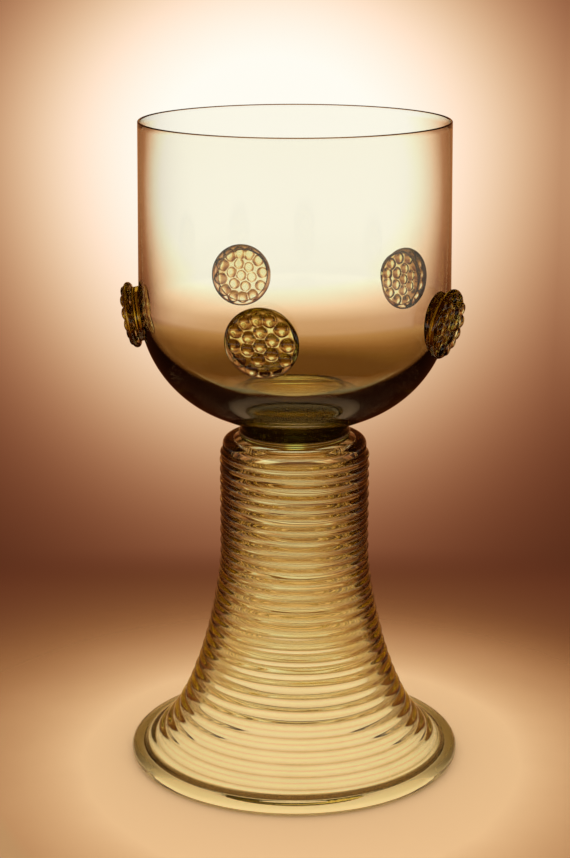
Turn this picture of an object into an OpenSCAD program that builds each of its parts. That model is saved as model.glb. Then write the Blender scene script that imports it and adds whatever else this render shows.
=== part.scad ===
// Roemer wine glass: a round bowl with raspberry prunts, a pad, and a hollow trumpet foot
// wound with a glass thread and edged with a heavy rim. Sizes are in millimetres. The glass
// stands on Z = 0 with its axis along +Z, and its front faces -Y.

/* [Bowl] */
// Outer diameter at the rim
rim_d = 84; // [78:0.5:90]
// Widest outer diameter, where the wall meets the rounded lower part
bowl_d = 85.2; // [80:0.2:90]
// Height of the bowl from its lowest point to the rim
bowl_h = 84.7; // [70:0.1:100]
// Height of the rounded lower part
curve_h = 35.2; // [32:0.1:38]
// Radius of the underside, at the axis
under_r = 55; // [50:0.5:65]
// Wall at the rim
rim_wall = 0.7; // [0.6:0.1:1.6]
// Wall at the widest place
belly_wall = 0.9; // [0.7:0.1:2]
// Glass under the middle of the bowl
bottom_t = 5.2; // [4:0.1:7]
// Radius of the inside bottom, at the axis
inside_r = 57; // [54:1:75]

/* [Pad] */
// Diameter of the pad between the bowl and the foot
pad_d = 31; // [26:0.2:34]
// Thickness of the pad at the axis
pad_t = 2.6; // [1.6:0.1:4]
// Radius of the pad's outer edge
pad_edge_r = 1.2; // [0.6:0.1:1.5]

/* [Foot] */
// Height of the foot up to its flat top
foot_h = 93.2; // [84:0.1:104]
// Outer diameter of the foot's rim
foot_d = 93.4; // [88:0.2:100]
// Outer diameter of the stem, without its thread
stem_d = 40; // [37:0.2:44]
// Wall of the stem and the flare
foot_wall = 2.4; // [1.8:0.1:3]
// Glass closing the top of the foot
crown_t = 2.6; // [1.8:0.1:4]
// Radius of the shoulder at the top of the stem
shoulder_r = 2; // [1.4:0.1:3.4]
// Height at which the flare leaves the straight stem
flare_h = 61.2; // [54:0.2:68]
// Pull of the flare's curve along the stem
flare_lead = 8.4; // [4:0.1:14]
// Pull of the flare's curve along the toe
toe_lead = 18.6; // [14:0.1:22]
// Slope of the toe below the level
toe_angle = 27.4; // [22:0.2:34]
// Height of the flare's edge, where it joins the rim
toe_h = 3.4; // [3:0.1:4]

/* [Foot rim] */
// Width of the rim's section
ring_w = 4.2; // [3.4:0.1:5]
// Height of the rim's section
ring_h = 3.9; // [3.7:0.1:4.6]
// Radius of the rim's outer corners
ring_round = 1.8; // [1.2:0.1:1.9]
// Radius of the rim's corners beside the flare
ring_inner_round = 0.8; // [0.5:0.1:1]

/* [Foot thread] */
// Bare stem between the foot's top and the middle of the first turn
thread_start = 7.2; // [4.6:0.1:13]
// Turns of the thread, each a little wider apart than the last
thread_turns = 24; // [16:1:24]
// Distance between turns at the top
thread_pitch = 3; // [2.95:0.05:3.4]
// Width of the thread on the glass
thread_w = 2.5; // [1.8:0.05:2.5]
// Height of the thread above the glass
thread_t = 1.3; // [0.8:0.05:1.6]
// Clearance between the thread's straight facets and the curved foot
thread_gap = 0.08; // [0.05:0.01:0.2]
// Bare glass between the last turn and the foot's rim
thread_end = 2.4; // [2:0.1:4]

/* [Prunts] */
// Diameter of a prunt's head
prunt_d = 19; // [18.6:0.2:22]
// Diameter of the neck that joins it to the bowl
prunt_neck_d = 15.6; // [12:0.2:15.6]
// Height of the head's face above the wall
prunt_h = 3.6; // [3.2:0.1:5]
// Thickness of the head
prunt_head_t = 2.4; // [2.3:0.1:2.6]
// Radius under the head's edge
prunt_under_r = 1.4; // [0.8:0.1:1.4]
// Radius around the head's face
prunt_face_r = 0.5; // [0.3:0.1:0.6]
// Gap between the beads on the face
bead_gap = 0.55; // [0.5:0.05:0.8]
// Bare edge of the face outside the beads
bead_margin = 0.15; // [0.05:0.01:0.6]
// Depth of a bead's centre below the face
bead_sink = 0.8; // [0.6:0.05:0.8]
// Nod of each face below the level
prunt_tilt = 10; // [0:1:14]

/* [Prunt places] */
// Angle of the front prunt from the front, positive to the right
front_angle = -11; // [-30:1:20]
// Height of its centre above the bowl's widest place
front_up = -1.5; // [-6:0.5:5]
// Angle of the right prunt
right_angle = 63; // [50:1:90]
// Height of its centre above the bowl's widest place
right_up = -1.5; // [-6:0.5:5]
// Angle of the right one at the back
rear_right_angle = 133; // [115:1:155]
// Height of its centre above the bowl's widest place
rear_right_up = 0.5; // [-6:0.5:5]
// Angle of the left one at the back
rear_left_angle = 201; // [180:1:220]
// Height of its centre above the bowl's widest place
rear_left_up = -0.5; // [-6:0.5:5]
// Angle of the left prunt
left_angle = 268; // [245:1:290]
// Height of its centre above the bowl's widest place
left_up = -3.5; // [-6:0.5:5]

/* [Hidden] */
$fn = 96;

clear_glass = [0.93, 0.90, 0.80, 0.45];
forest_glass = [0.72, 0.62, 0.33, 0.60];
green_glass = [0.40, 0.46, 0.20, 0.70];

bowl_z = foot_h + pad_t;
spring_z = bowl_z + curve_h;
rim_z = bowl_z + bowl_h;
edge_r = foot_d / 2 - ring_w;
stem_r = stem_d / 2;
bead_pitch = (prunt_d / 2 - prunt_face_r - bead_margin + bead_gap / 2) / 2.5;
bead_d = bead_pitch - bead_gap;

// Points of an arc around c with radius r, from angle a to angle b in n steps
function arc(c, r, a, b, n) = [for (i = [0:n]) c + r * [cos(a + (b - a) * i / n), sin(a + (b - a) * i / n)]];

// Radius of the corner that is tangent to an upright wall and to a bottom of radius u, h below it
function corner_r(u, wall, h) = (u * u - wall * wall - (u - h) * (u - h)) / (2 * (u - wall));
// Lower half of a bowl's section from the axis to the wall: the bottom arc and then the corner arc
function curve_points(u, wall, z, h) =
    let (r = corner_r(u, wall, h), join = atan2(h - u, wall - r))
    concat(arc([0, z + u], u, -90, join, 10), arc([wall - r, z + h], r, join + 2, 0, 18));

belly_r = bowl_d / 2;
outer_points = curve_points(under_r, belly_r, bowl_z, curve_h);
inner_points = curve_points(inside_r, belly_r - belly_wall, bowl_z + bottom_t, curve_h - bottom_t);
rim_points = arc([(rim_d - rim_wall) / 2, rim_z - rim_wall / 2], rim_wall / 2, 0, 180, 12);

// Outer radius of the bowl at a height near the spring of its curve
function wall_at(z) =
    let (r = corner_r(under_r, belly_r, curve_h))
    z > spring_z
        ? belly_r + (rim_d / 2 - belly_r) * (z - spring_z) / (rim_z - spring_z)
        : belly_r - r + sqrt(r * r - (spring_z - z) * (spring_z - z));

// The flare is one cubic curve from the stem to the toe
flare = [[stem_r, flare_h], [stem_r, flare_h - flare_lead], [edge_r - toe_lead * cos(toe_angle), toe_h + toe_lead * sin(toe_angle)], [edge_r, toe_h]];
function flare_at(t) = pow(1 - t, 3) * flare[0] + 3 * pow(1 - t, 2) * t * flare[1] + 3 * (1 - t) * t * t * flare[2] + pow(t, 3) * flare[3];
function flare_way(t) = let (d = pow(1 - t, 2) * (flare[1] - flare[0]) + 2 * (1 - t) * t * (flare[2] - flare[1]) + t * t * (flare[3] - flare[2])) d / norm(d);
function flare_out(t) = let (d = flare_way(t)) [-d[1], d[0]];
flare_steps = 28;

// The line that the thread follows, with the length along it at each point
thread_line = concat([[stem_r, foot_h - thread_start]], [for (i = [0:96]) flare_at(i / 96)]);
thread_sums = [for (i = 0, s = 0; i < len(thread_line); s = s + (i < len(thread_line) - 1 ? norm(thread_line[i + 1] - thread_line[i]) : 0), i = i + 1) s];
line_r = [for (i = [0:len(thread_line) - 1]) [thread_sums[i], thread_line[i][0]]];
line_z = [for (i = [0:len(thread_line) - 1]) [thread_sums[i], thread_line[i][1]]];
thread_length = thread_sums[len(thread_sums) - 1] - thread_end;
thread_growth = 2 * (thread_length / thread_turns - thread_pitch) / thread_turns;
function thread_s(turn) = thread_pitch * turn + thread_growth * turn * turn / 2;
function line_at(s) = [lookup(s, line_r), lookup(s, line_z)];

thread_rings = 24;
thread_count = thread_turns * thread_rings;
// A flat base on the glass under a low dome
thread_section = [[-0.5, 0], [-0.44, 0.62], [-0.18, 1], [0.18, 1], [0.44, 0.62], [0.5, 0]];
// Ring i of the thread. Its radius grows so that the straight facets clear the round foot.
function thread_ring(i) =
    let (turn = i / thread_rings, s = thread_s(turn), d = line_at(s + 0.4) - line_at(s - 0.4), way = d / norm(d), out = [-way[1], way[0]], base = line_at(s) + thread_gap * out)
    [for (q = thread_section)
        let (p = base + q[0] * thread_w * way + q[1] * thread_t * out, r = p[0] / cos(180 / thread_rings))
        [r * sin(360 * turn + 180), -r * cos(360 * turn + 180), p[1]]];
thread_points = [for (i = [0:thread_count]) each thread_ring(i)];
// Least gap between a turn's lower edge and the upper edge of the next
thread_least_gap = min([for (i = [0:thread_count - thread_rings]) norm(thread_points[6 * i + 5] - thread_points[6 * (i + thread_rings)])]);
echo(thread_least_gap = thread_least_gap);

module bowl_blank() {
    rotate_extrude() polygon(concat(outer_points, rim_points, [[0, rim_z]]));
}

module bowl() {
    color(clear_glass)
        rotate_extrude() polygon(concat(outer_points, rim_points, [for (i = [len(inner_points) - 1:-1:0]) inner_points[i]]));
}

module pad() {
    top = bowl_z + under_r - sqrt(under_r * under_r - pad_d * pad_d / 4);
    color(green_glass)
        difference() {
            rotate_extrude()
                polygon(concat([[0, foot_h]], arc([pad_d / 2 - pad_edge_r, foot_h + pad_edge_r], pad_edge_r, -90, 0, 6), [[pad_d / 2, top - 0.6], [pad_d / 2 - 1, top + 0.6], [0, top + 0.6]]));
            bowl_blank();
        }
}

module foot_shell() {
    inner_r = max(0.8, shoulder_r - foot_wall);
    color(forest_glass)
        rotate_extrude()
            polygon(concat(
                [[0, foot_h]],
                arc([stem_r - shoulder_r, foot_h - shoulder_r], shoulder_r, 90, 0, 8),
                [for (i = [0:flare_steps]) flare_at(i / flare_steps)],
                [[edge_r, toe_h - foot_wall * 0.7]],
                [for (i = [flare_steps:-1:0]) flare_at(i / flare_steps) - foot_wall * flare_out(i / flare_steps)],
                arc([stem_r - foot_wall - inner_r, foot_h - crown_t - inner_r], inner_r, 0, 90, 6),
                [[0, foot_h - crown_t]]));
}

module foot_thread() {
    color(forest_glass)
        polyhedron(
            points = thread_points,
            faces = concat(
                [for (i = [0:thread_count - 1], j = [0:5], k = [0, 1])
                    let (a = 6 * i + j, b = 6 * i + (j + 1) % 6, c = b + 6, d = a + 6)
                    k == 0 ? [a, b, c] : [a, c, d]],
                [for (j = [1:4]) [0, j + 1, j]],
                [for (j = [1:4]) let (a = 6 * thread_count) [a, a + j, a + j + 1]]));
}

module foot_rim() {
    outer_r = foot_d / 2;
    color(forest_glass)
        rotate_extrude()
            polygon(concat(
                arc([edge_r + ring_inner_round, ring_inner_round], ring_inner_round, 180, 270, 5),
                arc([outer_r - ring_round, ring_round], ring_round, -90, 0, 8),
                arc([outer_r - ring_round, ring_h - ring_round], ring_round, 0, 90, 8),
                arc([edge_r + ring_inner_round, ring_h - ring_inner_round], ring_inner_round, 90, 180, 5)));
}

// Moves a prunt, made face up on the wall, to its place around the bowl
module place(angle, z) {
    rotate(angle) translate([0, -wall_at(z), z]) rotate([90 + prunt_tilt, 0, 0]) children();
}

module prunt_body() {
    top = prunt_h;
    low = prunt_h - prunt_head_t;
    translate([0, 0, -3]) cylinder(d = prunt_neck_d, h = 3.3 + low);
    rotate_extrude()
        polygon(concat(
            [[0, low]],
            arc([prunt_d / 2 - prunt_under_r, low + prunt_under_r], prunt_under_r, -90, 0, 8),
            arc([prunt_d / 2 - prunt_face_r, top - prunt_face_r], prunt_face_r, 0, 90, 5),
            [[0, top]]));
}

// Beads in rings around one in the middle, all over the flat face
module beads() {
    translate([0, 0, prunt_h - bead_sink]) {
        sphere(d = bead_d, $fn = 32);
        for (ring = [1:2], i = [0:6 * ring - 1])
            rotate(360 * i / (6 * ring)) translate([ring * bead_pitch, 0, 0]) sphere(d = bead_d, $fn = 32);
    }
}

module prunt(angle, z) {
    color(forest_glass) {
        difference() {
            place(angle, z) prunt_body();
            bowl_blank();
        }
        place(angle, z) beads();
    }
}

module prunt_front() { prunt(front_angle, spring_z + front_up); }
module prunt_right() { prunt(right_angle, spring_z + right_up); }
module prunt_rear_right() { prunt(rear_right_angle, spring_z + rear_right_up); }
module prunt_rear_left() { prunt(rear_left_angle, spring_z + rear_left_up); }
module prunt_left() { prunt(left_angle, spring_z + left_up); }

bowl();
pad();
foot_shell();
foot_thread();
foot_rim();
prunt_front();
prunt_right();
prunt_rear_right();
prunt_rear_left();
prunt_left();
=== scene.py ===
# %% [markdown]
# # A roemer wine glass
# A roemer is blown and trailed by hand. A clear round bowl carries raspberry prunts, which are
# blobs of hot glass pressed with a stamp. It stands on a green pad and on a hollow trumpet foot
# of olive glass, wound with a glass thread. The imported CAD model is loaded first. It fixes the
# places and sizes of all pieces, and each piece made below stands for one of its nodes.

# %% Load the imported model
from bisect import bisect
from math import asin, atan2, cos, degrees, pi, radians, sin, sqrt

import bpy
from mathutils import Matrix, Vector


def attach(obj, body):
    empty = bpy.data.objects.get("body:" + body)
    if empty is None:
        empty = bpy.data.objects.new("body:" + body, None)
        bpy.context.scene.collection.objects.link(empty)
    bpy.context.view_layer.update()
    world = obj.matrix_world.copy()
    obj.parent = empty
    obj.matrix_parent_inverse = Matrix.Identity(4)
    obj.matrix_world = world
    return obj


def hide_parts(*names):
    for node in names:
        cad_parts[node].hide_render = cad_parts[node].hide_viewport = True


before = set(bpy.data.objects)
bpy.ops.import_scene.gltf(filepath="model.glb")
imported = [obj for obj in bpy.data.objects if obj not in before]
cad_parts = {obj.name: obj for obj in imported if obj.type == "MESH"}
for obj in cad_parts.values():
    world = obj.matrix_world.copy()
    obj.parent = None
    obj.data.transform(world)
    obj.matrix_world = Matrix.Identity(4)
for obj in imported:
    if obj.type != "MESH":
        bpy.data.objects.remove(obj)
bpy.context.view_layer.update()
MM = 0.001
print("CAD nodes:", ", ".join(sorted(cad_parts)))

# %% [markdown]
# ## Sizes
# The drawing's own values are repeated here in millimetres, because the turned sections below
# are drawn from them. Only the foot's closed top is thinner here, because a thick one shows as a
# black band under the pad. Where pieces are fused hot, their surfaces overlap by `FUSED`. A
# renderer would draw an air gap as a mirror, while two parallel surfaces inside the glass cancel
# out.

# %% Sizes of the glass
RIM_Z, BOWL_Z, FOOT_Z = 180.5, 95.8, 93.2
RIM_R, BELLY_R, CURVE_H, UNDER_R = 42.0, 42.6, 35.2, 55.0
RIM_WALL, BELLY_WALL = 0.7, 0.9
SPRING_Z = BOWL_Z + CURVE_H
PAD_R = 15.5
STEM_R, FOOT_WALL, CROWN_T, SHOULDER_R, INNER_R = 20.0, 2.4, 1.0, 2.0, 0.8
FOOT_R, RING_W, RING_H, TOE_Z = 46.7, 4.2, 3.9, 3.4
EDGE_R = FOOT_R - RING_W
FLARE_Z, FLARE_LEAD, TOE_LEAD, TOE_ANGLE = 61.2, 8.4, 18.6, radians(27.4)
FUSED = 0.2
print(f"rim at {RIM_Z:.1f} mm, bowl from {BOWL_Z:.1f} mm, foot to {FOOT_Z:.1f} mm")

# %% [markdown]
# ## Shader maths
# A node tree is easier to read as a formula. This small class wraps one socket: arithmetic on it
# adds Math nodes, and `node` adds any other node with its settings first and its sockets after.


# %% A socket that does arithmetic
class Sock:
    def __init__(self, tree, socket=None):
        self.tree, self.socket = tree, socket

    def node(self, kind, settings=None, out=0, **sockets):
        made = self.tree.nodes.new(kind)
        for name, value in (settings or {}).items():
            setattr(made, name, value)
        for name, value in sockets.items():
            key = int(name[1:]) if name[0] == "_" else name.replace("_", " ")
            if isinstance(value, Sock):
                self.tree.links.new(value.socket, made.inputs[key])
            else:
                made.inputs[key].default_value = value
        return Sock(self.tree, made.outputs[out] if made.outputs else None)

    def other(self, out):
        return Sock(self.tree, self.socket.node.outputs[out])

    def math(self, operation, *values):
        sockets = {f"_{i}": value for i, value in enumerate(values)}
        return self.node("ShaderNodeMath", {"operation": operation}, **sockets)

    def __add__(self, value): return self.math("ADD", self, value)
    def __radd__(self, value): return self.math("ADD", value, self)
    def __sub__(self, value): return self.math("SUBTRACT", self, value)
    def __rsub__(self, value): return self.math("SUBTRACT", value, self)
    def __mul__(self, value): return self.math("MULTIPLY", self, value)
    def __rmul__(self, value): return self.math("MULTIPLY", value, self)
    def __truediv__(self, value): return self.math("DIVIDE", self, value)
    def __rtruediv__(self, value): return self.math("DIVIDE", value, self)

    def within(self, low, high):
        return self.math("MINIMUM", self.math("MAXIMUM", self, low), high)

    def ease(self, low, high):
        """0 at low and 1 at high, with soft ends."""
        settings = {"interpolation_type": "SMOOTHSTEP"}
        return self.node("ShaderNodeMapRange", settings, Value=self, From_Min=low, From_Max=high)

    def falloff(self, edge, soft):
        """1 well inside an edge and 0 well outside it, as the light of a lamp fades."""
        return 1 / (1 + self.math("EXPONENT", (self - edge) / soft))

    def decay(self, length):
        return self.math("EXPONENT", self / -length)

    def rgb(self, channels):
        return self.node("ShaderNodeCombineColor", **dict(zip(("Red", "Green", "Blue"), channels)))

    def mix(self, first, second):
        return self.node("ShaderNodeMix", {"data_type": "RGBA"}, out=2, _0=self, _6=first, _7=second)

    def ramp(self, stops):
        made = self.node("ShaderNodeValToRGB", Fac=self)
        elements = made.socket.node.color_ramp.elements
        while len(elements) < len(stops):
            elements.new(1.0)
        for element, (place, colour) in zip(elements, stops):
            element.position = place
            element.color = (*colour, 1.0)
        return made


def new_material(name):
    material = bpy.data.materials.new(name)
    material.use_nodes = True
    material.node_tree.nodes.clear()
    return material, Sock(material.node_tree)


# %% [markdown]
# ## Glass
# Clear glass is a Principled shader with full transmission. Its colour comes from a plain volume
# absorption, so thick places are deeper than thin ones, as in real forest glass. Hand-made glass
# is never quite even: a slow noise drawn out along the axis gives faint streaks in the tint, and
# a second one ripples the surface very slightly. The thread's mesh marks in an attribute where
# shade is painted: a darker tint in its grooves and along its crests, and a near-black painted
# shade where it meets the rim. The rim is ground dull underneath, where it has worn on tables.

# %% Glass materials
GLASS_IOR, DULL = 1.5, 0.6
# Near-black painted shade for the crease where the thread meets the rim.
CREASE_SHADE = (0.05, 0.022, 0.006, 1)


def glass(name, per_metre, tint, streak, ripple, groove_shade=None, worn=None):
    """Glass that absorbs red, green and blue at the given rates for each metre of its thickness."""
    material, start = new_material(name)
    place = start.node("ShaderNodeTexCoord", out="Object")
    drawn = start.node("ShaderNodeMapping", Vector=place, Scale=(45, 45, 9))
    cloud = start.node("ShaderNodeTexNoise", Vector=drawn, Scale=1.0, Detail=3.0, Roughness=0.55)
    wave = start.node("ShaderNodeTexNoise", Vector=place, Scale=55.0, Detail=2.0, Roughness=0.4)
    colour = cloud.mix((*tint, 1), (*streak, 1))
    # Painted shade: a darker tint where the thread's attribute marks grooves and crests, and a near-black
    # crease of painted shade under the rim.
    if groove_shade:
        line = start.node("ShaderNodeAttribute", {"attribute_name": "groove_shade"}, out="Fac")
        colour = (line.within(0, 1) * (0.5 + cloud)).mix(colour, (*groove_shade, 1))
        colour = (line - 1).within(0, 1).mix(colour, CREASE_SHADE)
    rough = 0.004 + 0.01 * cloud
    if worn:
        up = start.node("ShaderNodeSeparateXYZ", Vector=place).other(2)
        ground = start.node("ShaderNodeMapRange", Value=up, From_Min=worn, From_Max=worn / 3, To_Max=DULL)
        rough = ground + rough
    bump = start.node("ShaderNodeBump", Strength=ripple, Distance=0.0006, Height=wave)
    shine = start.node(
        "ShaderNodeBsdfPrincipled", Base_Color=colour, Roughness=rough, IOR=GLASS_IOR,
        Transmission_Weight=1.0, Normal=bump)
    rate = max(per_metre)
    passed = (*(1 - r / rate for r in per_metre), 1)
    body = start.node("ShaderNodeVolumeAbsorption", Color=passed, Density=rate)
    start.node("ShaderNodeOutputMaterial", Surface=shine, Volume=body)
    return material


clear_glass = glass("clear_glass", (6, 13, 80), (1.0, 1.0, 0.99), (0.995, 0.99, 0.97), 0.04)
OLIVE_TINTS = (1.0, 1.0, 0.98), (0.985, 0.975, 0.92)
olive = ((11, 24, 105), *OLIVE_TINTS, 0.08)
olive_glass = glass("olive_glass", *olive)
# The thread's grooves and crests get painted shade in this darker tint.
thread_glass = glass("thread_glass", *olive, groove_shade=(0.5, 0.36, 0.16))
rim_glass = glass("rim_glass", *olive, worn=0.3 * MM)
green_glass = glass("green_glass", (13, 7, 42), (0.98, 1.0, 0.95), (0.94, 0.97, 0.86), 0.08)
berry_glass = glass("berry_glass", (28, 46, 195), *OLIVE_TINTS, 0.06)
print("glass:", ", ".join(sorted(m.name for m in bpy.data.materials if m.name.endswith("_glass"))))

# %% [markdown]
# ## Turned pieces
# All but the thread and the beads of the prunts are round. On a lathe one would draw half of the
# section and turn it. The same works here: one vertex is extruded along the half section, and the
# spin operator turns the chain of edges once round the axis. Doubles on the seam and on the axis
# are merged, and only then are the normals recalculated.

# %% Helpers for half sections
WELD = 0.002 * MM


def arc(centre, radius, start, end, steps):
    turn = [radians(start + (end - start) * i / steps) for i in range(steps + 1)]
    return [(centre[0] + radius * cos(a), centre[1] + radius * sin(a)) for a in turn]


def straight(first, last, steps):
    return [tuple(a + (b - a) * i / steps for a, b in zip(first, last)) for i in range(1, steps)]


def deselect():
    if bpy.context.object and bpy.context.object.mode != "OBJECT":
        bpy.ops.object.mode_set(mode="OBJECT")
    bpy.ops.object.select_all(action="DESELECT")


def turned(name, section, steps):
    """Spins a half section of (radius, height) points in millimetres round the Z axis."""
    deselect()
    bpy.ops.mesh.primitive_plane_add(size=MM)
    piece = bpy.context.object
    piece.name = piece.data.name = name
    bpy.ops.object.mode_set(mode="EDIT")
    bpy.ops.mesh.merge(type="CENTER")
    points = [Vector((r * MM, 0, z * MM)) for r, z in section]
    bpy.ops.transform.translate(value=points[0])
    for here, there in zip(points, points[1:]):
        bpy.ops.mesh.extrude_region_move(TRANSFORM_OT_translate={"value": there - here})
    bpy.ops.mesh.select_all(action="SELECT")
    bpy.ops.mesh.spin(steps=steps, angle=2 * pi, center=(0, 0, 0), axis=(0, 0, 1))
    bpy.ops.mesh.select_all(action="SELECT")
    bpy.ops.mesh.remove_doubles(threshold=WELD)
    bpy.ops.mesh.normals_make_consistent(inside=False)
    bpy.ops.object.mode_set(mode="OBJECT")
    bpy.ops.object.shade_smooth()
    return piece


def hand_in(piece, material, node):
    piece.data.materials.clear()
    piece.data.materials.append(material)
    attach(piece, "root")
    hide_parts(node)
    low, high = Vector(piece.bound_box[0]), Vector(piece.bound_box[6])
    size = ", ".join(f"{v / MM:.1f}" for v in high - low)
    print(f"{piece.name}: {len(piece.data.polygons)} faces, {size} mm")


# %% [markdown]
# ## Bowl
# The bowl was blown, so its wall is thin at the rim and the glass gathers at the bottom. The half
# section is an outer curve, a rounded fire-polished rim and an inner curve. Below the wall the
# outer curve is a corner arc and a flat bottom arc that touch without a kink. The inner curve is
# the outer one moved inwards by a thickness that is eased between a few values. It can't be
# measured from outside, but the thick bottom is a lens, and these values give the golden arc and
# the dark crescent that such a bottom shows.

# %% Outside of the bowl
corner_r = (UNDER_R**2 - BELLY_R**2 - (UNDER_R - CURVE_H) ** 2) / (2 * (UNDER_R - BELLY_R))
join = degrees(atan2(CURVE_H - UNDER_R, BELLY_R - corner_r))
bowl_outside = arc((0, BOWL_Z + UNDER_R), UNDER_R, -90, join, 26)
bowl_outside += arc((BELLY_R - corner_r, SPRING_Z), corner_r, join, 0, 40)[1:]
print(f"bowl's corner: {corner_r:.1f} mm radius")

# %% Inside of the bowl
MID_THIN = 0.25
THICKNESS = ((0, 7.8), (0.2, 7.2), (0.4, 5.5), (0.55, 3.7), (0.7, 2.4), (0.85, 1.35), (1, BELLY_WALL))


def thickness(share):
    """Wall at a share of the way from the bottom to the straight wall, eased between the values."""
    places, walls = zip(*THICKNESS)
    i = min(max(bisect(places, share), 1), len(places) - 1)

    def slope(k):
        if k in (0, len(places) - 1):
            return 0
        return (walls[k + 1] - walls[k - 1]) / (places[k + 1] - places[k - 1])

    step = places[i] - places[i - 1]
    x = (share - places[i - 1]) / step
    return (
        (1 + 2 * x) * (1 - x) ** 2 * walls[i - 1] + x * (1 - x) ** 2 * step * slope(i - 1)
        + x * x * (3 - 2 * x) * walls[i] + x * x * (x - 1) * step * slope(i))


def lengths_along(points):
    sums = [0.0]
    for here, there in zip(points, points[1:]):
        sums.append(sums[-1] + (Vector(there) - Vector(here)).length)
    return sums


lengths = lengths_along(bowl_outside)
ways = [(Vector(b) - Vector(a)).normalized() for a, b in zip(bowl_outside, bowl_outside[2:])]
ways = [Vector((1, 0))] + ways + [Vector((0, 1))]
bowl_inside = []
for (r, z), way, length in zip(bowl_outside, ways, lengths):
    wall = thickness(length / lengths[-1])
    bowl_inside.append((r - way.y * wall, z + way.x * wall))
print(f"bowl's bottom: {bowl_inside[0][1] - BOWL_Z:.1f} mm thick")

# %% Turn the bowl
rim_edge = arc((RIM_R - RIM_WALL / 2, RIM_Z - RIM_WALL / 2), RIM_WALL / 2, 0, 180, 14)
inner_wall = straight(rim_edge[-1], bowl_inside[-1], 31)
thin_wall = [(r + MID_THIN * sin(pi * i / len(inner_wall)), z) for i, (r, z) in enumerate(inner_wall, 1)]
outer_wall = straight(bowl_outside[-1], rim_edge[0], 30)
bowl_section = bowl_outside + outer_wall + rim_edge + thin_wall + bowl_inside[::-1]
bowl = turned("blown_bowl", bowl_section, 144)
hand_in(bowl, clear_glass, "bowl")

# %% [markdown]
# ## Pad
# A small disc of green glass joins the bowl to the foot. It was pressed between the two while
# soft, so its edge bulges a little and its top follows the underside of the bowl.

# %% Pad
PAD_BULGE, PAD_WAIST, SEAT_IN, FACE_IN = 1.3, 1.5, 0.4, 0.5
seat_r = UNDER_R - FUSED
seat_end = asin((PAD_R - SEAT_IN) / seat_r)
seat = [seat_end * i / 16 for i in range(17)]
pad_top = [(seat_r * sin(a), BOWL_Z + UNDER_R - seat_r * cos(a)) for a in seat]
middle, face_edge = (0, FOOT_Z - FUSED), (PAD_R - FACE_IN, FOOT_Z - FUSED)
pad_edge = arc((PAD_R - PAD_BULGE, FOOT_Z + PAD_WAIST), PAD_BULGE, -70, 60, 18)
pad_section = [middle] + straight(middle, face_edge, 8) + [face_edge] + pad_edge + pad_top[::-1]
pad = turned("pressed_pad", pad_section, 96)
hand_in(pad, green_glass, "pad")

# %% [markdown]
# ## Foot
# The foot is one hollow trumpet: a closed top with a rounded shoulder, a straight stem and a
# flare. The flare is one cubic curve, and the inner wall is that curve moved inwards along its
# normal, so that the wall keeps its thickness.

# %% Foot shell
TOE_LOW = 1.1
CORNER = radians(50)


def flare(t):
    """Point and outward normal on the outside of the flare, for t from 0 (stem) to 1 (edge)."""
    p = [
        Vector((STEM_R, FLARE_Z)), Vector((STEM_R, FLARE_Z - FLARE_LEAD)),
        Vector((EDGE_R - TOE_LEAD * cos(TOE_ANGLE), TOE_Z + TOE_LEAD * sin(TOE_ANGLE))),
        Vector((EDGE_R, TOE_Z))]
    s = 1 - t
    point = s**3 * p[0] + 3 * s * s * t * p[1] + 3 * s * t * t * p[2] + t**3 * p[3]
    way = (s * s * (p[1] - p[0]) + 2 * s * t * (p[2] - p[1]) + t * t * (p[3] - p[2])).normalized()
    return point, Vector((-way.y, way.x))


flare_line = [flare(i / 60) for i in range(61)]
flare_outside = [tuple(point) for point, normal in flare_line]
flare_inside = [tuple(point - FOOT_WALL * normal) for point, normal in flare_line]
shoulder = arc((STEM_R - SHOULDER_R, FOOT_Z - SHOULDER_R), SHOULDER_R, 90, 0, 18)
inner_shoulder = arc((STEM_R - FOOT_WALL - INNER_R, FOOT_Z - CROWN_T - INNER_R), INNER_R, 0, 90, 12)
crown = (0, FOOT_Z - CROWN_T)
toe = [(EDGE_R + FUSED, TOE_Z - FUSED * sin(TOE_ANGLE)), (EDGE_R + FUSED, TOE_LOW)]
foot_section = (
    [(0, FOOT_Z)] + straight((0, FOOT_Z), shoulder[0], 10) + shoulder
    + straight(shoulder[-1], flare_outside[0], 16) + flare_outside + toe + flare_inside[::-1]
    + straight(flare_inside[0], inner_shoulder[0], 16) + inner_shoulder
    + straight(inner_shoulder[-1], crown, 10) + [crown])
foot_shell = turned("trumpet_foot", foot_section, 144)
bpy.ops.object.shade_smooth_by_angle(angle=CORNER)
hand_in(foot_shell, olive_glass, "foot_shell")

# %% [markdown]
# ## Foot rim
# The edge of the foot is a heavy ring, flat underneath where it has worn on tables.

# %% Foot rim
HEEL, SIDE, BACK, SEAM = 0.9, 1.8, 2.0, 1.2
ring_in = EDGE_R - FUSED / 2
ring_section = arc((ring_in + HEEL, HEEL), HEEL, 180, 270, 10)
ring_section += straight((ring_in + HEEL, 0), (FOOT_R - SIDE, 0), 4)
ring_section += arc((FOOT_R - SIDE, SIDE), SIDE, -90, 0, 14)
ring_section += arc((FOOT_R - BACK, RING_H - BACK), BACK, 0, 90, 16)
ring_section += arc((ring_in + SEAM, RING_H - SEAM), SEAM, 90, 180, 12) + [ring_section[0]]
foot_rim = turned("heavy_rim", ring_section, 160)
hand_in(foot_rim, rim_glass, "foot_rim")
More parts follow.
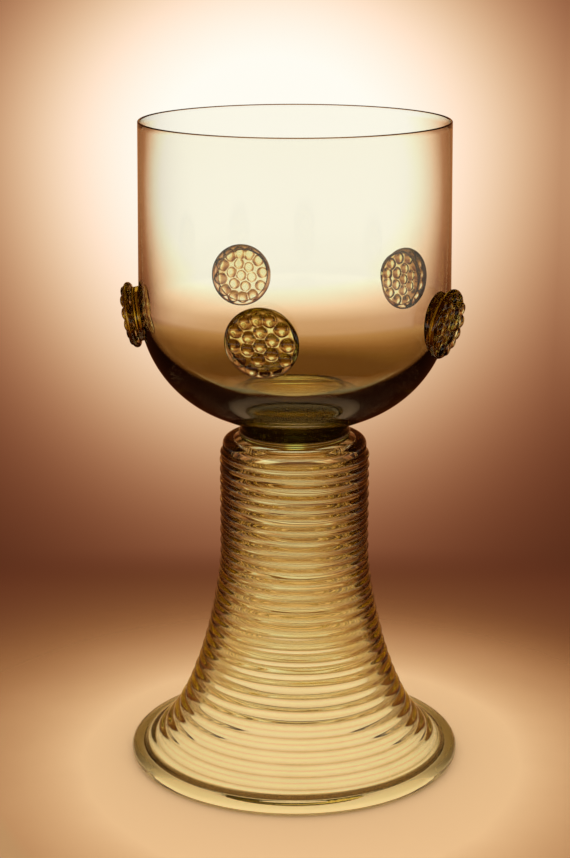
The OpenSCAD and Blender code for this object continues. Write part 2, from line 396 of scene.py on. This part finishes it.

# %% [markdown]
# ## Foot thread
# The glass maker trails a soft thread of glass round the turning foot. Its turns lie side by side
# and melt together, so that only a soft wave is left of them, wider on the flare. A bevelled curve
# would leave slits between the turns, which shine like mirrors. So a long flat grid is wound round
# the foot as a strip whose edges meet, its doubles are merged, and one extrusion makes the closed
# sleeve: the inner skin stays in the shell, and the outer one rises into ridges. The first and the
# last turn taper off, and the last one runs on under the rim, where a near-black crease of painted
# shade marks where they meet. Shade is also painted in the valleys and along the crests.

# %% Path of the thread
THREAD_TOP, THREAD_TURNS, THREAD_PITCH, THREAD_END = 90.2, 29, 2.75, -1.2
thread_line = [Vector((STEM_R, THREAD_TOP))] + [flare(i / 400)[0] for i in range(401)]
sums = lengths_along(thread_line)
growth = 2 * ((sums[-1] - THREAD_END) / THREAD_TURNS - THREAD_PITCH) / THREAD_TURNS


def on_foot(s):
    """Point and outward normal on the foot's outside, a length s below the thread's start."""
    i = min(max(bisect(sums, s), 1), len(sums) - 1)
    way = (thread_line[i] - thread_line[i - 1]).normalized()
    return thread_line[i - 1] + (s - sums[i - 1]) * way, Vector((-way.y, way.x))


last_pitch = THREAD_PITCH + growth * THREAD_TURNS
print(f"thread: {sums[-1] - THREAD_END:.1f} mm of foot, last turns {last_pitch:.2f} mm apart")

# %% Wind the strip
PER_TURN, ACROSS, VALLEY, CREST = 80, 10, 0.35, 0.85
deselect()
bpy.ops.mesh.primitive_grid_add(
    x_subdivisions=(THREAD_TURNS + 1) * PER_TURN, y_subdivisions=ACROSS, size=2)
foot_thread = bpy.context.object
foot_thread.name = foot_thread.data.name = "wound_thread"
wound = foot_thread.data.attributes.new("wound", "FLOAT", "POINT")


def smooth(x):
    x = min(max(x, 0.0), 1.0)
    return x * x * (3 - 2 * x)


def trail(t):
    """Length along the foot after t turns, with the unevenness of a hand-laid thread."""
    wander = 0.1 * sin(2.1 * t + 0.7) * sin(0.37 * t) + 0.05 * sin(5.3 * t)
    wander *= smooth(t / 2) * smooth((THREAD_TURNS - t) / 2)
    return THREAD_PITCH * t + growth * t * t / 2 + wander


def wind(angle, t, height):
    """A point on the foot, t turns along the thread and at a height above the shell."""
    place, normal = on_foot(trail(t))
    place = place + height * normal
    return Vector((place.x * sin(angle), -place.x * cos(angle), place.y)) * MM


for v in foot_thread.data.vertices:
    turn = (v.co.x + 1) / 2 * (THREAD_TURNS + 1) - 0.5
    t = min(max(turn + v.co.y / 2, 0), THREAD_TURNS)
    wound.data[v.index].value = t
    v.co = wind(2 * pi * turn + pi, t, -FUSED)
bpy.ops.object.mode_set(mode="EDIT")
bpy.ops.mesh.select_all(action="SELECT")
bpy.ops.mesh.remove_doubles(threshold=WELD)
bpy.ops.mesh.extrude_region_move(TRANSFORM_OT_translate={"value": (0, 0, 0)})
bpy.ops.object.mode_set(mode="OBJECT")

# %% Raise its ridges
TAPER, CREST_SHADE, CREST_SHARE, CREASE_UP, CREASE_EASE = 0.5, 0.45, 9, 1.25, 0.5
wound = foot_thread.data.attributes["wound"]
for v in foot_thread.data.vertices:
    if v.select:
        t = wound.data[v.index].value
        angle = atan2(v.co.x, -v.co.y)
        across = t - (angle - pi) / (2 * pi)
        across -= round(across)
        ridge = abs(cos(pi * across)) ** 1.2
        hand = 1 + 0.08 * sin(3.9 * t + 1.0) + 0.05 * sin(11.0 * t)
        melt = smooth(t / TAPER) * smooth((THREAD_TURNS - t) / TAPER)
        lift = VALLEY + (CREST - VALLEY) * ridge * hand
        v.co = wind(angle, t, lift * melt - FUSED / 2 * (1 - melt))
        # Painted shade: the attribute gets a mask for a darker tint in the valleys, a thin line along each
        # crest, and the near-black crease where the thread runs under the rim.
        hollow = (1 - ridge) ** 3 * melt
        crest_shade = CREST_SHADE * max(0, 1 - abs(across) * CREST_SHARE) * melt
        crease = 2 * smooth((trail(t) - sums[-1] + CREASE_UP) / CREASE_EASE)
        wound.data[v.index].value = max(hollow, crest_shade, crease)
    else:
        wound.data[v.index].value = 0.0
bpy.ops.object.mode_set(mode="EDIT")
bpy.ops.mesh.select_all(action="SELECT")
bpy.ops.mesh.normals_make_consistent(inside=False)
bpy.ops.object.mode_set(mode="OBJECT")
foot_thread.data.attributes["wound"].name = "groove_shade"
bpy.ops.object.shade_smooth_by_angle(angle=CORNER)
hand_in(foot_thread, thread_glass, "foot_thread")

# %% [markdown]
# ## Prunts
# A prunt is a blob of hot glass set on the bowl and pressed with a stamp, which leaves a round
# head covered in beads, on a slightly narrower neck. One is modelled face up: a turned body, and
# flattened bead spheres in rings, fused to it by a Boolean and melted together by a voxel remesh
# and some smoothing. Copies are then set around the bowl, each turned and sized a little
# differently and pressed more or less flat, and their backs are cut to the bowl's round wall.

# %% Body of one raspberry prunt
PRUNT_R, PRUNT_H, HEAD_T, NECK_R = 9.5, 3.6, 2.4, 7.8
NECK_FLARE, NECK_EASE, HEAD_EASE, HEAD_RISE, BURIED = 0.3, 0.6, 1.1, 0.5, -5.0
under = PRUNT_H - HEAD_T
root, crown_top = (NECK_R + NECK_FLARE, BURIED), (0, PRUNT_H + HEAD_RISE)
prunt_section = [(0, BURIED), root] + straight(root, (NECK_R, under - NECK_EASE), 8)
prunt_section += arc((NECK_R + NECK_EASE, under - NECK_EASE), NECK_EASE, 180, 90, 6)
prunt_section += arc((PRUNT_R - HEAD_EASE, under + HEAD_EASE), HEAD_EASE, -90, 90, 16)
prunt_section += straight((PRUNT_R - HEAD_EASE, PRUNT_H), crown_top, 10) + [crown_top]
prunt = turned("berry", prunt_section, 96)

# %% Beads of the prunt
BEAD_PITCH, BEAD_R, BEAD_FLAT, BEAD_UP, BEAD_RINGS = 3.45, 1.78, 0.5, 0.6, 3
beads = []
for ring in range(BEAD_RINGS):
    count = max(1, 6 * ring)
    for i in range(count):
        n = len(beads)
        a = 2 * pi * i / count + 0.2 * ring
        a += 0.09 * sin(7.3 * n) if ring else 0.0
        r = ring * BEAD_PITCH + 0.16 * sin(4.1 * n)
        height = PRUNT_H + HEAD_RISE * (1 - (r / PRUNT_R) ** 2)
        height += BEAD_UP * (1 + 0.2 * sin(5.7 * n)) - BEAD_R * BEAD_FLAT
        deselect()
        bpy.ops.mesh.primitive_uv_sphere_add(
            segments=48, ring_count=24, radius=BEAD_R * MM,
            location=(r * cos(a) * MM, r * sin(a) * MM, height * MM))
        bpy.context.object.scale.z = BEAD_FLAT
        beads.append(bpy.context.object)
deselect()
for bead in beads:
    bead.select_set(True)
bpy.ops.object.join()
print("beads:", len(beads))
beads = bpy.context.object

# %% Melt them together
MELT_VOXEL, CALM_SHARE, CALM_TIMES = 0.18 * MM, 0.5, 5


def use(piece):
    deselect()
    piece.select_set(True)
    bpy.context.view_layer.objects.active = piece


use(prunt)
fuse = prunt.modifiers.new("fuse", "BOOLEAN")
fuse.operation, fuse.object, fuse.solver, fuse.use_self = "UNION", beads, "EXACT", True
bpy.ops.object.modifier_apply(modifier=fuse.name)
bpy.data.objects.remove(beads)
melt = prunt.modifiers.new("melt", "REMESH")
melt.mode, melt.voxel_size, melt.use_smooth_shade = "VOXEL", MELT_VOXEL, True
bpy.ops.object.modifier_apply(modifier=melt.name)
calm = prunt.modifiers.new("calm", "SMOOTH")
calm.factor, calm.iterations = CALM_SHARE, CALM_TIMES
bpy.ops.object.modifier_apply(modifier=calm.name)
print(f"prunt: {len(prunt.data.polygons)} faces")


# %% Set the prunts around the bowl
def wall_at(z):
    """Outer radius of the bowl at a height near its widest place."""
    if z > SPRING_Z:
        return BELLY_R + (RIM_R - BELLY_R) * (z - SPRING_Z) / (RIM_Z - SPRING_Z)
    return BELLY_R - corner_r + sqrt(corner_r**2 - (SPRING_Z - z) ** 2)


CUT_FROM = BOWL_Z + 4
wall_section = [(r - FUSED, z) for r, z in bowl_outside if z > CUT_FROM]
wall_section = [(0, wall_section[0][1])] + wall_section + [(RIM_R - FUSED, RIM_Z), (0, RIM_Z)]
wall = turned("wall_cutter", wall_section, 192)
PRUNT_TILT = radians(10)
# Angle round the bowl, height from the foot of the straight wall, own turn, size and depth
PRUNT_PLACES = {
    "front": (-11, -1.5, 12, 1.02, 1.0), "right": (63, -1.5, 40, 1.0, 0.95),
    "rear_right": (133, 0.5, 77, 0.96, 0.7), "rear_left": (201, -0.5, 5, 0.98, 0.5),
    "left": (268, -3.5, 58, 0.96, 0.9)}
for side, (angle, up, spin, size, depth) in PRUNT_PLACES.items():
    copy = prunt.copy()
    copy.data = prunt.data.copy()
    copy.name = copy.data.name = "berry_" + side
    bpy.context.scene.collection.objects.link(copy)
    z = SPRING_Z + up
    place = Matrix.Rotation(radians(angle), 4, "Z") @ Matrix.Translation((0, -wall_at(z) * MM, z * MM))
    place = place @ Matrix.Rotation(pi / 2 + PRUNT_TILT, 4, "X") @ Matrix.Rotation(radians(spin), 4, "Z")
    copy.matrix_world = place @ Matrix.Diagonal((size, size, depth, 1))
    use(copy)
    bpy.ops.object.transform_apply(location=True, rotation=True, scale=True)
    cut = copy.modifiers.new("cut", "BOOLEAN")
    cut.operation, cut.object, cut.solver = "DIFFERENCE", wall, "EXACT"
    bpy.ops.object.modifier_apply(modifier=cut.name)
    bpy.ops.object.shade_smooth_by_angle(angle=CORNER)
    hand_in(copy, berry_glass, "prunt_" + side)
bpy.data.objects.remove(prunt)
bpy.data.objects.remove(wall)

# %% [markdown]
# ## Floor
# The glass stands on a plain pale table with a pool of light painted into its colour, and a glow
# is painted inside the foot for the light that the foot gathers. Beyond the pool the painted light
# decays with distance, blue soonest, so it turns from cream to brown. The floor is a disc that fades
# out, so that the room meets it softly. It keeps a tan tone on all sides but one: behind the glass,
# as the camera looks at it, the painted light darkens on and soon fades into a dark horizon.

# %% Colours of the floor
FLOOR_R, CAMERA_OFF = 520, 534.6
TABLE_FAR, SOFT_LIGHT = (0.57, 0.32, 0.145), (0.95, 0.93, 0.9)
PAINTED_POOL_LIGHT, POOL_EDGE, POOL_FADES = (0.96, 0.62, 0.33), 62.5, (51, 36, 29)
# Colour of the painted light inside the foot.
PAINTED_CAUSTIC = (0.78, 0.655, 0.46, 1)
deselect()
bpy.ops.mesh.primitive_circle_add(
    vertices=128, radius=FLOOR_R * MM, fill_type="NGON", location=(0, 0, -0.1 * MM))
floor = bpy.context.object
floor.name = "table"
table, start = new_material("pale_table")
place = start.node("ShaderNodeTexCoord", out="Object")
reach = start.node("ShaderNodeVectorMath", {"operation": "LENGTH"}, out="Value", _0=place) / MM
cloud = start.node("ShaderNodeTexNoise", Vector=place, Scale=30.0, Detail=4.0)
path = start.node("ShaderNodeLightPath", out="Is Camera Ray")
x = start.node("ShaderNodeSeparateXYZ", Vector=place)
y = x.other(1)
across, along = x - 2 * MM, y * (0.75 + 0.25 * start.math("GREATER_THAN", y, 0.0))
spread = start.math("SQRT", across * across + along * along) / MM * (0.7 + 0.3 * path)
beyond = start.math("MAXIMUM", spread + 6 * (cloud - 0.5) - POOL_EDGE, 0.0)
# Painted light: the table's colour holds a pool of light that is bright out to the pool's edge and then
# decays, blue soonest.
lit = start.rgb(part * beyond.decay(fade) for part, fade in zip(PAINTED_POOL_LIGHT, POOL_FADES))
# Painted shade: behind the glass, as the camera looks at it, the painted light decays on towards dark; on
# other sides it stops at the table's tan.
at_back = (start.math("ABSOLUTE", x) / (y + CAMERA_OFF * MM)).ease(0.23, 0.165) * y.ease(-30 * MM, 30 * MM)
plain = start.node("ShaderNodeVectorMath", {"operation": "MAXIMUM"}, _0=lit, _1=TABLE_FAR)
lit = at_back.mix(plain, lit)
# Painted light: a glow with faint rings on the table inside the foot stands for the light that the glass
# gathers there.
caustic_glow = reach.ease(44.5, 40.5) * (1 + 0.07 * start.math("SINE", reach * 1.65))
print(f"floor: a pool of light that decays from {POOL_EDGE:.1f} mm on")

# %% How far the floor reaches
# The painted glow inside the foot goes in as emission.
top = start.node(
    "ShaderNodeBsdfPrincipled", Base_Color=lit, Roughness=1.0, Specular_IOR_Level=0.0,
    Emission_Color=caustic_glow.mix((0, 0, 0, 1), PAINTED_CAUSTIC), Emission_Strength=1.0)
in_front = y.ease(-20 * MM, -140 * MM)
fade = (reach * (1 - 0.57 * in_front)).ease(140.0, 215.0)
fade = start.math("MAXIMUM", fade, at_back * reach.ease(90.0, 135.0))
in_mirror = path.other("Glossy Depth").within(0, 1)
unseen = start.math("MAXIMUM", fade, 0.92 * reach.ease(55.0, 75.0) * in_mirror)
seen = start.node("ShaderNodeMixShader", _0=unseen, _1=top, _2=start.node("ShaderNodeBsdfTransparent"))
start.node("ShaderNodeOutputMaterial", Surface=seen)
floor.data.materials.append(table)
print("floor: fades out at 215 mm beside the glass, 135 mm behind it and 500 mm in front")

# %% [markdown]
# ## Light
# Glass is lit by what stands behind it. The world is a warm room with a soft glow a little below
# eye level in each direction that the glass is looked at from, and the table's tan tone below it.
# The glow fades like a lamp's light in haze, blue before red, so its edge is amber.
# Behind the glass, as the camera looks at it, there is a dark horizon instead, and what is seen
# there through the glass deepens downwards. The table, which isn't glass, gets an even soft light.
# Glass mirrors all sides of the room at once, so what it mirrors is dimmed to the one glow behind
# it and a faint light that faces it.

# %% Directions in the room
world = bpy.data.worlds.new("warm_room")
world.use_nodes = True
world.node_tree.nodes.clear()
world.cycles.sampling_method = "NONE"
bpy.context.scene.world = world
start = Sock(world.node_tree)
way = start.node("ShaderNodeSeparateXYZ", Vector=start.node("ShaderNodeTexCoord", out="Generated"))
azimuth = start.math("ARCTAN2", way, way.other(1)) + radians(0.4)
off_back = start.math("ABSOLUTE", azimuth)
height = start.math("ARCSINE", way.other(2))
path = start.node("ShaderNodeLightPath", out="Is Camera Ray")
scattered = path.other("Diffuse Depth").within(0, 1)
mirrored = path.other("Glossy Depth").within(0, 1)
again = (path.other("Glossy Depth") - 1).within(0, 1)

# %% Glow on each side
GLOW_STEP, GLOW_EL, GLOW_R = radians(45), radians(-7), 20
GLOW_WHITE, GLOW_PEAK = (1.0, 0.99, 0.97), 0.94
GLOW_EDGES, GLOW_SOFT = (7.6, 6.9, 6.0), (1.47, 1.28, 1.25)
HAZE, HAZE_FADE = (0.47, 0.125, 0.05), 8.4
aside = start.math("PINGPONG", azimuth, GLOW_STEP / 2 + mirrored * (pi - GLOW_STEP / 2))
rise = height - GLOW_EL
above = start.math("GREATER_THAN", rise, 0.0)
tall = rise * (0.8 + 0.1 * path + (0.4 - 0.1 * path) * above)
tall = tall - 0.95 * (rise - radians(4.35)).within(0.0, radians(12))
low = rise.ease(radians(-5), radians(-9))
wide = aside - 0.95 * (1 - low) * start.math("MAXIMUM", aside - radians(8.3), 0.0)
off = start.math("MINIMUM", start.math("SQRT", wide * wide + tall * tall) / radians(1), GLOW_R)
glow = start.rgb(
    GLOW_PEAK * off.falloff(edge, soft) + part * off.decay(HAZE_FADE)
    for edge, soft, part in zip(GLOW_EDGES, GLOW_SOFT, HAZE))
glow = start.node("ShaderNodeVectorMath", {"operation": "MINIMUM"}, _0=glow, _1=GLOW_WHITE)
print("world: a glow every", round(degrees(GLOW_STEP)), "degrees")

# %% Dark horizon behind the glass
FAR_EL, FAR_R, DEEP_EL = radians(-27), 20, 40
FAR_LIT, FAR_EDGES, FAR_SOFT = (0.68, 0.49, 0.27), (5.84, 5.47, 4.98), 0.84
FAR_DARK, DARK_SIDE = (0.11, 0.026, 0.011), (0.05, 0.016, 0.007, 1)
near = 0.45 * aside * start.math("COSINE", height)
far = start.math("MAXIMUM", height - FAR_EL, 0.0)
away = start.math("MINIMUM", start.math("SQRT", near * near + far * far) / radians(1), FAR_R)
far_table = start.rgb(
    dark + light * away.falloff(edge, FAR_SOFT)
    for dark, light, edge in zip(FAR_DARK, FAR_LIT, FAR_EDGES))
deep = (height / radians(DEEP_EL) + 1).ramp([(1 - d / DEEP_EL, colour) for d, colour in (
    (40, (0.1, 0.035, 0.01)), (29, (0.13, 0.05, 0.011)), (25, (0.17, 0.07, 0.014)),
    (22, (0.235, 0.095, 0.023)), (20, (0.33, 0.145, 0.042)), (18.5, (0.42, 0.205, 0.07)),
    (17, (0.52, 0.27, 0.1)), (15, (0.64, 0.37, 0.165)))])
deep = aside.ease(radians(8), radians(16)).mix(deep, DARK_SIDE)
through = height.ease(radians(-15.5), radians(-18.5)) * (1 - path) * (1 - mirrored)
base = height.ease(radians(-18.2), radians(-19.4)) * path
horizon = through.mix(base.mix(glow, far_table), deep)

# %% The whole room
TABLE_TONE, MIRROR_TINT, FACING_LIGHT = (0.535, 0.295, 0.13, 1), (0.8, 0.64, 0.42, 1), (0.55, 0.51, 0.42, 1)
WARM_WHITE = (1.0, 0.975, 0.89)
sides = height.ease(radians(-9), radians(-15)).mix(glow, TABLE_TONE)
room = (off_back.ease(radians(36), radians(24)) + mirrored).within(0, 1).mix(sides, horizon)
room = start.node(
    "ShaderNodeMix", {"data_type": "RGBA", "blend_type": "MULTIPLY"}, out=2,
    _0=mirrored, _6=room, _7=MIRROR_TINT)
facing = off_back.ease(radians(40), radians(105))
level = start.math("ABSOLUTE", height + radians(7)).ease(radians(9), radians(5))
room = (mirrored * facing * level).mix(room, FACING_LIGHT)
gain = 1.2 - 0.2 * path - 1.1 * again
room = start.node("ShaderNodeVectorMath", {"operation": "SCALE"}, _0=room, Scale=gain)
room = start.node("ShaderNodeVectorMath", {"operation": "MINIMUM"}, _0=room, _1=WARM_WHITE)
colour = scattered.mix(room, (*SOFT_LIGHT, 1))
start.node("ShaderNodeOutputWorld", Surface=start.node("ShaderNodeBackground", Color=colour, Strength=1.0))

# %% [markdown]
# ## Camera
# The camera was worked out from the ellipses of the rim and the foot: a long lens, a little above
# the rim, looking down. The middle of the picture lies just left of the glass's axis.

# %% Camera
FOCAL_PX, FRAME_H, SENSOR = 1993.0, 858, 36.0
CAMERA_X, CAMERA_Z, LOOK_DOWN = -2.65, 237.9, 14.956
deselect()
bpy.ops.object.camera_add(
    location=(CAMERA_X * MM, -CAMERA_OFF * MM, CAMERA_Z * MM), rotation=(radians(90 - LOOK_DOWN), 0, 0))
camera = bpy.context.object
camera.data.sensor_width = SENSOR
camera.data.lens = SENSOR * FOCAL_PX / FRAME_H
camera.data.clip_start = 0.01
bpy.context.scene.camera = camera
print(f"camera: {camera.data.lens:.1f} mm lens")

# %% Picture settings
scene = bpy.context.scene
scene.view_settings.view_transform = "Standard"
scene.cycles.max_bounces = 32
scene.cycles.transmission_bounces = 32
scene.cycles.glossy_bounces = 12
scene.cycles.transparent_max_bounces = 32
